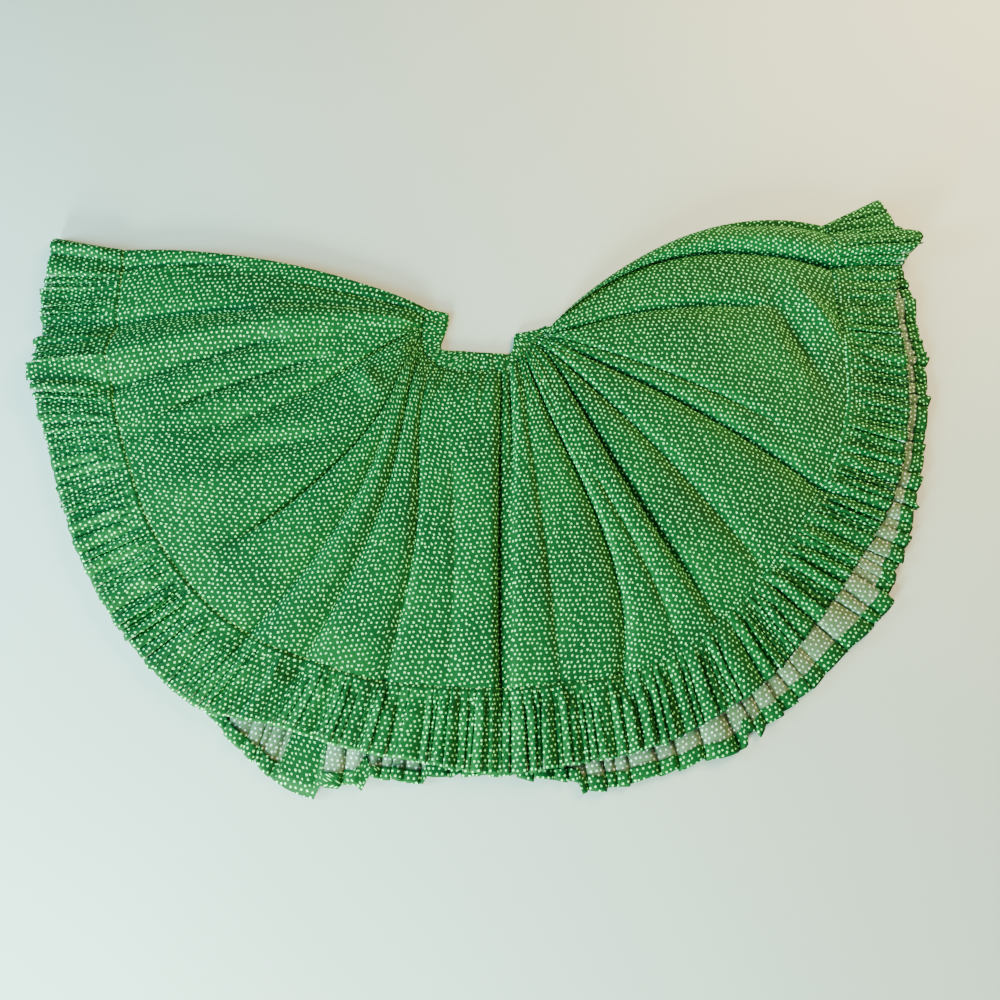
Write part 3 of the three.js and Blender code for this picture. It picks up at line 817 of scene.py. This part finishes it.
def node(
    tree: NodeTree,
    kind: str,
    settings: dict[str, object] | None = None,
    values: dict[object, object] | list[object] | None = None,
    out: int | str = 0,
) -> Sock:
    """Adds any node, with its settings first and then its sockets' values or links.

    Args:
        tree: the tree that it goes into.
        kind: the node's type.
        settings: attributes of the node.
        values: sockets by name or place, each a value or another Sock.
        out: which output to return.

    Returns:
        The output, wrapped.
    """
    made = tree.nodes.new(kind)
    for key, value in (settings or {}).items():
        setattr(made, key, value)
    pairs = values.items() if isinstance(values, dict) else enumerate(values or [])
    for key, value in pairs:
        if value is None:
            continue
        socket = made.inputs[key]
        if isinstance(value, Sock):
            tree.links.new(value.socket, socket)
        else:
            socket.default_value = value
    return Sock(tree, made.outputs[out])


def dress(name: str, build: Callable[[NodeTree], dict[str, object]]) -> Material:
    """Makes a material, or returns it if it is there.

    Args:
        name: of the material.
        build: adds its nodes to a tree, and returns the shader's values by socket.

    Returns:
        The material.
    """
    if name in bpy.data.materials:
        return bpy.data.materials[name]
    material = bpy.data.materials.new(name)
    material.use_nodes = True
    tree = material.node_tree
    tree.nodes.clear()
    shader = node(tree, "ShaderNodeBsdfPrincipled", {}, build(tree))
    output = tree.nodes.new("ShaderNodeOutputMaterial")
    tree.links.new(shader.socket, output.inputs["Surface"])
    return material


def srgb(red: int, green: int, blue: int) -> Colour:
    """A colour from its display values, 0 to 255, as the shader wants it."""
    linear = (((c / 255 + 0.055) / 1.055) ** 2.4 if c > 10 else c / 3294.6 for c in (red, green, blue))
    return (*linear, 1.0)


@dataclass(frozen=True)
class Calico:
    """Printed cotton with small pale dots on green, and its paler wrong side.

    A dot is a rounded seed with three corners, given as turns in radians. dot_mix: how much
    the corners and how much a circle shape it. dot_sizes: the least and the spread. dot_edge:
    where its edge starts and ends, in radii from its outline. cloud, slub and rumple: scale
    and detail of the mottling, the threads and the fine creasing. The mottling is a deeper dye
    on the right side and painted shade on the wrong side, a darker olive in patches.
    """

    ground: Colour = srgb(15, 84, 36)
    ground_deep: Colour = srgb(7, 62, 24)
    dot: Colour = srgb(156, 255, 162)
    wrong: Colour = srgb(116, 140, 112)
    # painted shade: the darker olive that noise mixes into the wrong side's ground in patches
    wrong_painted_shade: Colour = srgb(78, 106, 72)
    wrong_dot: Colour = srgb(252, 255, 250)
    dot_pitch: float = 7.5 * MM
    dot_radius: float = 1.27 * MM
    dot_scatter: float = 0.38
    dot_corners: tuple[float, ...] = (0.3, 2.4, 4.5)
    dot_width: float = 0.85
    dot_mix: Point = (0.5, 0.55)
    dot_sizes: Point = (0.85, 0.3)
    dot_edge: Point = (-0.16, 0.12)
    thread_pitch: float = 0.5 * MM
    cloud: Point = (9.0, 3.0)
    slub: Point = (420.0, 2.0)
    rumple: Point = (46.0, 3.0)

    def sides(self, wrong_up: bool) -> tuple[Material, Material]:
        """The materials of the upper and the under side of a piece."""
        looks = {
            "calico_right_side": (self.ground, self.ground_deep, self.dot),
            "printed_cotton_wrong_side": (self.wrong, self.wrong_painted_shade, self.wrong_dot),
        }
        right, wrong = (
            dress(name, lambda tree, look=look: self._nodes(tree, *look))
            for name, look in looks.items()
        )
        return (wrong, right) if wrong_up else (right, wrong)

    def _dots(self, tree: NodeTree, flat: Sock) -> Sock:
        """Mask of the scattered dots, in offset rows, each a seed turned its own way."""
        pitches = flat.vector("SCALE", None, None, 1 / self.dot_pitch)
        half = 1 / math.sqrt(3)
        rows = node(tree, "ShaderNodeCombineXYZ", {}, [pitches.dot(1, -half), pitches.dot(0, 2 * half)])
        settings = {"voronoi_dimensions": "2D", "feature": "F1"}
        values = {"Vector": rows, "Scale": 1.0, "Randomness": self.dot_scatter}
        cell = node(tree, "ShaderNodeTexVoronoi", settings, values, "Position")
        chance = cell.other("Color").dot(1, 0)
        off = rows.vector("SUBTRACT", cell)
        local = node(tree, "ShaderNodeCombineXYZ", {}, [off.dot(1, 0.5), off.dot(0, 1 / (2 * half))])
        turned = node(
            tree, "ShaderNodeVectorRotate", {"rotation_type": "Z_AXIS"},
            {"Vector": local, "Angle": chance * (2 * math.pi)},
        )
        reach = [turned.dot(math.cos(a), math.sin(a) * self.dot_width) for a in self.dot_corners]
        seed = reach[0].above(reach[1]).above(reach[2])
        cornered, rounded = self.dot_mix
        distance = (seed * cornered + turned.vector("LENGTH", out=1) * rounded) * self.dot_pitch
        least, more = self.dot_sizes
        size = chance * more + least
        edge = (share * self.dot_radius for share in self.dot_edge)
        return 1 - (distance - size * self.dot_radius).step(*edge)

    def _nodes(
        self, tree: NodeTree, ground: Colour, deep: Colour, dot: Colour
    ) -> dict[str, object]:
        """Adds the nodes of one side of the cloth.

        Args:
            tree: the material's tree.
            ground: main colour.
            deep: a darker ground mixed in by noise, a deeper dye on the right side and painted shade on
                the wrong side.
            dot: colour of the dots.

        Returns:
            The shader's values by socket.
        """
        flat = node(tree, "ShaderNodeUVMap", {"uv_map": "Flat"})
        cloud, slub, rumple = (
            node(
                tree, "ShaderNodeTexNoise", {"noise_dimensions": "2D"},
                {"Vector": flat, "Scale": scale, "Detail": detail},
            )
            for scale, detail in (self.cloud, self.slub, self.rumple)
        )
        axes = node(tree, "ShaderNodeSeparateXYZ", {}, {0: flat})
        turns = 2 * math.pi / self.thread_pitch
        weave = (axes * turns).sin() * (axes.other(1) * turns).sin()
        # noise mask of the darker ground: on the wrong side it paints patches of shade
        shade = (cloud * 0.7 + slub * 0.5 - 0.1).step(0.25, 0.8)
        colour = self._dots(tree, flat).blend(shade.blend(deep, ground), dot)
        bump = node(
            tree, "ShaderNodeBump", {},
            {"Height": rumple + weave * 0.04 + slub * 0.06, "Strength": 0.45, "Distance": 0.0012},
        )
        return {
            "Base Color": colour, "Roughness": slub * 0.12 + 0.76, "Normal": bump,
            "Specular IOR Level": 0.15,
        }


@dataclass(frozen=True)
class Thread:
    """Green sewing thread, two plies twisted together."""

    colour: Colour = srgb(30, 122, 58)
    deep: Colour = srgb(14, 84, 38)
    twist: float = 900.0

    def _nodes(self, tree: NodeTree) -> dict[str, object]:
        """Adds the thread's nodes, and returns the shader's values by socket."""
        spot = node(tree, "ShaderNodeTexCoord", {}, {}, "Object")
        ply = node(tree, "ShaderNodeTexNoise", {}, {"Vector": spot, "Scale": self.twist, "Detail": 2.0})
        colour = ply.step(0.35, 0.65).blend(self.deep, self.colour)
        return {"Base Color": colour, "Roughness": ply * 0.2 + 0.45}

    def material(self) -> Material:
        """The thread's material."""
        return dress("sewing_thread", self._nodes)


# ---------------- stitches
@dataclass
class Stitching:
    """A row of machine stitches along lines of points, made by Geometry Nodes.

    least and most: how far a stitch's width, height and length vary, as shares.
    """

    name: str
    length: float = 2.3 * MM
    pitch: float = 3.0 * MM
    thickness: float = 0.5 * MM
    seed: int = 5
    sides: int = 6
    least: tuple[float, ...] = (0.9, 0.9, 0.88)
    most: tuple[float, ...] = (1.1, 1.1, 1.06)

    def _tree(self) -> NodeTree:
        """The node tree, with its sizes, seed and thread as named inputs."""
        if "stitches" in bpy.data.node_groups:
            return bpy.data.node_groups["stitches"]
        tree = bpy.data.node_groups.new("stitches", "GeometryNodeTree")
        face = tree.interface
        face.new_socket("Geometry", in_out="OUTPUT", socket_type="NodeSocketGeometry")
        for name, kind in (
            ("Geometry", "Geometry"), ("Length", "Float"), ("Pitch", "Float"), ("Thickness", "Float"),
            ("Sides", "Int"), ("Seed", "Int"), ("Thread", "Material"),
        ):
            face.new_socket(name, in_out="INPUT", socket_type=f"NodeSocket{kind}")
        given = tree.nodes.new("NodeGroupInput").outputs
        inputs = {name: Sock(tree, given[name]) for name in given.keys() if name}
        line = node(tree, "GeometryNodeMeshToCurve", {}, {"Mesh": inputs["Geometry"]})
        points = node(
            tree, "GeometryNodeCurveToPoints", {"mode": "LENGTH"},
            {"Curve": line, "Length": inputs["Pitch"]}, "Points",
        )
        bead = node(
            tree, "GeometryNodeMeshUVSphere", {},
            {"Segments": inputs["Sides"], "Rings": 5, "Radius": 0.5},
        )
        size = node(
            tree, "ShaderNodeCombineXYZ", {},
            [inputs["Thickness"], inputs["Thickness"], inputs["Length"]],
        )
        random = node(
            tree, "FunctionNodeRandomValue", {"data_type": "FLOAT_VECTOR"},
            {"Min": self.least, "Max": self.most, "Seed": inputs["Seed"]},
        )
        placed = node(
            tree, "GeometryNodeInstanceOnPoints", {},
            {"Points": points, "Instance": bead, "Rotation": points.other("Rotation"),
             "Scale": size.vector("MULTIPLY", random)},
        )
        real = node(tree, "GeometryNodeRealizeInstances", {}, {"Geometry": placed})
        dressed = node(
            tree, "GeometryNodeSetMaterial", {}, {"Geometry": real, "Material": inputs["Thread"]}
        )
        out = tree.nodes.new("NodeGroupOutput")
        tree.links.new(dressed.socket, out.inputs["Geometry"])
        return tree

    def make(self, lines: list[Grid], thread: Thread) -> None:
        """Sews along each line and makes the stitches one plain mesh.

        Args:
            lines: points of each line, [point][x, y, z].
            thread: what they are sewn with.
        """
        points = np.concatenate(lines)
        ends = np.cumsum([len(line) for line in lines])
        edges = [(i, i + 1) for i in range(len(points) - 1) if i + 1 not in ends]
        path = bpy.data.meshes.new(f"{self.name}_path")
        path.from_pydata(points.tolist(), edges, [])
        piece = place(self.name, path)
        sewn = piece.modifiers.new("Stitches", "NODES")
        sewn.node_group = self._tree()
        values = {
            "Length": self.length, "Pitch": self.pitch, "Thickness": self.thickness,
            "Sides": self.sides, "Seed": self.seed, "Thread": thread.material(),
        }
        for item in sewn.node_group.interface.items_tree:
            if item.item_type == "SOCKET" and item.in_out == "INPUT" and item.name in values:
                sewn[item.identifier] = values[item.name]
        ready = piece.evaluated_get(bpy.context.evaluated_depsgraph_get())
        mesh = bpy.data.meshes.new_from_object(ready)
        piece.modifiers.remove(sewn)
        piece.data = mesh
        mesh.name = self.name
        mesh.polygons.foreach_set("use_smooth", [True] * len(mesh.polygons))
        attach(piece, "root")
        LOG.info("%s: %d faces", self.name, len(mesh.polygons))


# ---------------- pieces
@dataclass
class Gore:
    """One flared gore of the body, half of the front or of the back.

    gathers_end: share of its length over which the waist gathers fade. fade: how early they
    do. back_sewn: how much of a seam's pull the back gores show.
    """

    side: Side
    layer: Layer
    column_width: float = 3.5 * MM
    rows: int = 136
    back_columns: int = 110
    back_rows: int = 60
    waist_gathers: Gathers = WAIST_GATHERS
    gathers_end: float = 0.34
    fade: float = 1.5
    back_sewn: float = 0.5

    def _columns(self, down: Grid) -> tuple[Grid, Grid]:
        """Shares round the fan of its columns, [column][row], and which lie on a crease."""
        if self.layer is Layer.BACK:
            across = np.linspace(*LAY.half(self.side, LAY.edge), self.back_columns)
            return across[:, None] + np.zeros(len(down)), np.array([0])
        middle = next(k for k, fold in enumerate(FOLDS) if fold.seam == CENTRE_LINE)
        first, last = (0, middle) if self.side is Side.LEFT else (middle, len(FOLDS))
        return fold_columns(first, last, self.column_width, down)

    def surface(self) -> Surface:
        """Its surface as it lies, with its folds, waist gathers and seams."""
        front = self.layer is Layer.FRONT
        down = np.linspace(0, 1, self.rows if front else self.back_rows)
        turn, tucks = self._columns(down)
        plan = LAY.gore(turn, down)
        sewn = sewn_down(turn, lengths(plan[:, ::-1], 1)[:, ::-1])
        if front:
            height, lean = fold_form(turn, down, plan)
            small, small_lean, _ = self.waist_gathers.form(0.0, 1.0, turn, 1 - down)
            fade = (1 - smooth(down, 0.0, self.gathers_end)) ** self.fade
            height = (height + small * fade + front_floor(down) + WALL) * LAY.side_fold(turn)
            points = Surface.raised(plan, height - sewn, lean + small_lean * fade)
        else:
            points = Surface.raised(plan, WALL - self.back_sewn * sewn, 0.0)
        return fan_cut(points, tucks, self.side is Side.LEFT)

    def make(self, finish: Calico) -> None:
        front = self.layer is Layer.FRONT
        name = f"gore_{self.layer.value}_{self.side.value}"
        piece = cloth_mesh(name, self.surface(), finish, wrong_up=not front)
        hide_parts(f"body_{self.layer.value}_{self.side.value}")


@dataclass
class Ruffle:
    """One half of the gathered hem ruffle, front or back, with its turned-up hem.

    rows_closer: how much closer its rows are at the seam. puckers: small tucks to a gather.
    Shares of its depth: opened, where steps push its hem out, tucked, where the puckers have
    faded, and risen, where the gathers and puckers have left the seam.
    """

    side: Side
    layer: Layer
    gathers: Gathers
    steps: tuple[Step, ...]
    rows: int = 24
    rows_closer: float = 1.1
    hem_rows: int = 6
    puckers: int = 3
    pucker_height: float = 0.9 * MM
    opened: Point = (0.2, 1.0)
    tucked: Point = (0.0, 0.3)
    risen: Point = (0.0, 0.05)

    def _down(self) -> Grid:
        """Shares of its depth at its rows, one of them where the hem is stitched."""
        return np.sort(np.append(np.linspace(0, 1, self.rows - 1) ** self.rows_closer, STITCHED))

    def surface(self) -> Surface:
        """Its points as it lies, from the seam to the hem and back up the turned hem."""
        front = self.layer is Layer.FRONT
        low, high = LAY.half(self.side, 0.0 if front else LAY.edge)
        hem = self.rows - 1
        back = 1 - np.linspace(0, HEM_TURN / RUFFLE_DEPTH, self.hem_rows)[1:]
        path = np.concatenate([self._down(), back])
        folded = np.concatenate([np.zeros(hem), [HEM_FOLD / 2], np.full(self.hem_rows - 1, HEM_FOLD)])
        turn = self.gathers.columns(low, high, path)
        rise, lean, jog = self.gathers.form(low, high, turn, path)
        pushed, calm, turned = hem_steps(self.steps, turn)
        rise, lean, jog = (value * (1 - calm) for value in (rise, lean, jog))
        out = (jog + pushed) / RUFFLE_DEPTH
        reach = path - np.where(np.arange(len(path)) > hem, turned * (1 - path), 0.0)
        reach = reach * (1 + out * smooth(path, *self.opened))
        plan = LAY.strip("seam", "hem" if front else "under", turn, reach)
        count = self.gathers.count * self.puckers
        puckers = Gathers(count, self.pucker_height, self.gathers.seed + 1, at_seam=1.0)
        small, _, _ = puckers.form(low, high, turn, path)
        flared = smooth(turn, *LAY.turn_of(np.array(FLARED))) * front
        lean = lean * (1 - flared)
        small = small * (1 + flared) * np.maximum(1 - smooth(path, *self.tucked), flared)
        rise = (rise + small) * smooth(path, *self.risen)
        sewn = sewn_down(turn, path * RUFFLE_DEPTH)
        if front:
            folds, fold_lean = fold_form(turn, 1 + path, plan)
            height = (folds + front_floor(1 + path) + WALL + rise) * LAY.side_fold(turn) - folded
            lean = lean + fold_lean
        else:
            height = WALL + rise + folded
        points = Surface.raised(plan, height - sewn, lean)
        tucks = np.arange(self.gathers.count) * len(Gathers.PHASES)
        return strip_cut(points, tucks, hem=hem)

    def make(self, finish: Calico) -> Grid:
        """Args:
            finish: its cloth.

        Returns:
            The line that its hem stitches follow.
        """
        front = self.layer is Layer.FRONT
        name = f"ruffle_{self.layer.value}_{self.side.value}"
        surface = self.surface()
        piece = cloth_mesh(f"{name}_cloth", surface, finish, wrong_up=not front)
        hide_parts(name)
        stitched = int(np.argmin(np.abs(self._down() - STITCHED)))
        return surface.stitch_line(stitched if front else self.rows + self.hem_rows - 3)


@dataclass
class Waistband:
    """Half of the elastic casing, a strip folded over along its top edge.

    bend: share of its depth that the folded edge takes. crown: how much its middle rises.
    off_floor: how high the back half's underside lies. stitch_row: rows up from its seam.
    """

    layer: Layer
    rows: int = 14
    fold_rows: int = 9
    bend: float = 0.06
    crown: float = 0.9 * MM
    off_floor: float = 0.4 * MM
    fullness: float = 1.15
    stitch_row: int = 2
    ripples: Gathers = CASING_RIPPLES

    def surface(self) -> Surface:
        """Its points, from the lower seam underneath, over the top edge, to the seam above."""
        front = self.layer is Layer.FRONT
        low, high = (0.0, 1.0) if front else (LAY.edge, 1 - LAY.edge)
        bent = np.linspace(0, 1, self.fold_rows)[1:-1]
        path = np.concatenate([
            np.linspace(1, self.bend, self.rows),
            self.bend * (1 - np.sin(np.pi * bent)),
            np.linspace(self.bend, 1, self.rows),
        ])
        level = np.concatenate([np.zeros(self.rows), bent, np.ones(self.rows)])
        turn = self.ripples.columns(low, high, path)
        plan = LAY.strip("casing", "waist", turn, path)
        base = CASING + SEAM_GAP if front else self.off_floor
        rise, _, _ = self.ripples.form(low, high, turn, path)
        depth = float(np.linalg.norm(LAY.rows["casing"][CENTRE_LINE] - LAY.rows["waist"][CENTRE_LINE]))
        crown = self.crown * np.sin(np.pi * path) * level
        sewn = sewn_down(turn, (1 - path) * depth) * level
        height = base + level * (CASING + rise) + crown - sewn
        if front:
            height = height * LAY.side_fold(turn)
        points = Surface.raised(plan, height, 0.0)
        tucks = np.arange(self.ripples.count) * len(Gathers.PHASES)
        return strip_cut(points, tucks, self.fullness)

    def make(self, finish: Calico) -> Grid:
        """Args:
            finish: its cloth.

        Returns:
            The line that its stitches follow.
        """
        surface = self.surface()
        piece = cloth_mesh(f"casing_{self.layer.value}", surface, finish, wrong_up=False)
        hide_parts(f"waistband_{self.layer.value}")
        return surface.stitch_line(len(surface.points[0]) - self.stitch_row)


# ---------------- studio
@dataclass(frozen=True)
class Lamp:
    """A soft square lamp aimed at the middle of the skirt, in metres and watts."""

    name: str
    at: tuple[float, float, float]
    size: float
    power: float
    colour: tuple[float, float, float]

    def make(self) -> None:
        """Hangs the lamp."""
        data = bpy.data.lights.new(self.name, "AREA")
        data.size = self.size
        data.energy = self.power
        data.color = self.colour
        lamp = place(self.name, data)
        lamp.location = self.at
        lamp.rotation_euler = (-Vector(self.at)).to_track_quat("-Z", "Y").to_euler()


@dataclass(frozen=True)
class Studio:
    """Plain pale floor, soft light and the camera over the skirt."""

    eye: tuple[float, float, float] = (-0.039, -0.504, 1.032)
    ahead: tuple[float, float, float] = (0.0407, 0.2512, -0.9671)
    right: tuple[float, float, float] = (0.9991, -0.0010, 0.0417)
    lens: float = 26.64
    sensor: float = 36.0
    floor_colour: Colour = srgb(226, 224, 218)
    floor_roughness: float = 0.75
    floor_size: float = 12.0
    floor_drop: float = 0.4 * MM
    lamps: tuple[Lamp, ...] = (
        Lamp("near window", (-1.0, -1.9, 0.5), 0.6, 225, (0.56, 1.0, 0.8)),
        Lamp("left window", (-1.9, -0.3, 0.6), 0.8, 95, (0.3, 0.92, 1.0)),
        Lamp("room", (1.2, 1.1, 1.2), 1.0, 64, (1.0, 0.86, 0.4)),
    )
    sky: Colour = (0.97, 0.98, 1.0, 1.0)
    sky_strength: float = 0.2

    def floor(self) -> None:
        """Lays the floor just under the skirt."""
        bpy.ops.mesh.primitive_plane_add(size=self.floor_size, location=(0, 0, -self.floor_drop))
        plane = bpy.context.active_object
        plane.name = "floor"
        material = bpy.data.materials.new("floor")
        material.use_nodes = True
        shader = material.node_tree.nodes["Principled BSDF"]
        shader.inputs["Base Color"].default_value = self.floor_colour
        shader.inputs["Roughness"].default_value = self.floor_roughness
        plane.data.materials.append(material)

    def camera(self) -> None:
        """Sets the camera where the skirt is seen from, turned as it is held."""
        data = bpy.data.cameras.new("camera")
        data.sensor_width = self.sensor
        data.lens = self.lens
        camera = place("camera", data)
        back = -Vector(self.ahead).normalized()
        right = Vector(self.right)
        right = (right - right.dot(back) * back).normalized()
        turn = Matrix((right, back.cross(right), back)).transposed()
        eye = Vector(self.eye) + Vector((*LAY.shift, 0.0))
        camera.matrix_world = Matrix.Translation(eye) @ turn.to_4x4()
        bpy.context.scene.camera = camera

    def make(self) -> None:
        """Builds the whole studio."""
        self.floor()
        for lamp in self.lamps:
            lamp.make()
        world = bpy.data.worlds.new("world")
        world.use_nodes = True
        background = world.node_tree.nodes["Background"].inputs
        background["Color"].default_value = self.sky
        background["Strength"].default_value = self.sky_strength
        bpy.context.scene.world = world
        self.camera()


def main() -> None:
    """Builds the skirt from the back layer up, then the studio."""
    logging.basicConfig(level=logging.INFO, format="%(name)s %(message)s")
    calico, thread = Calico(), Thread()
    for layer in (Layer.BACK, Layer.FRONT):
        for side in Side:
            Gore(side, layer).make(calico)
    hems: dict[Layer, list[Grid]] = {layer: [] for layer in Layer}
    kinds = ((Layer.BACK, PLEATS, BACK_STEPS), (Layer.FRONT, FULL_GATHERS, FRONT_STEPS))
    for n, side in enumerate(Side):
        for layer, gathers, steps in kinds:
            uneven = replace(gathers, seed=gathers.seed + n)
            hems[layer].append(Ruffle(side, layer, uneven, steps).make(calico))
    bands = [Waistband(layer).make(calico) for layer in (Layer.BACK, Layer.FRONT)]
    for layer, lines in hems.items():
        Stitching(f"hem_stitches_{layer.value}").make(lines, thread)
    Stitching("casing_stitches").make(bands, thread)
    Studio().make()


if __name__ == "__main__":
    main()
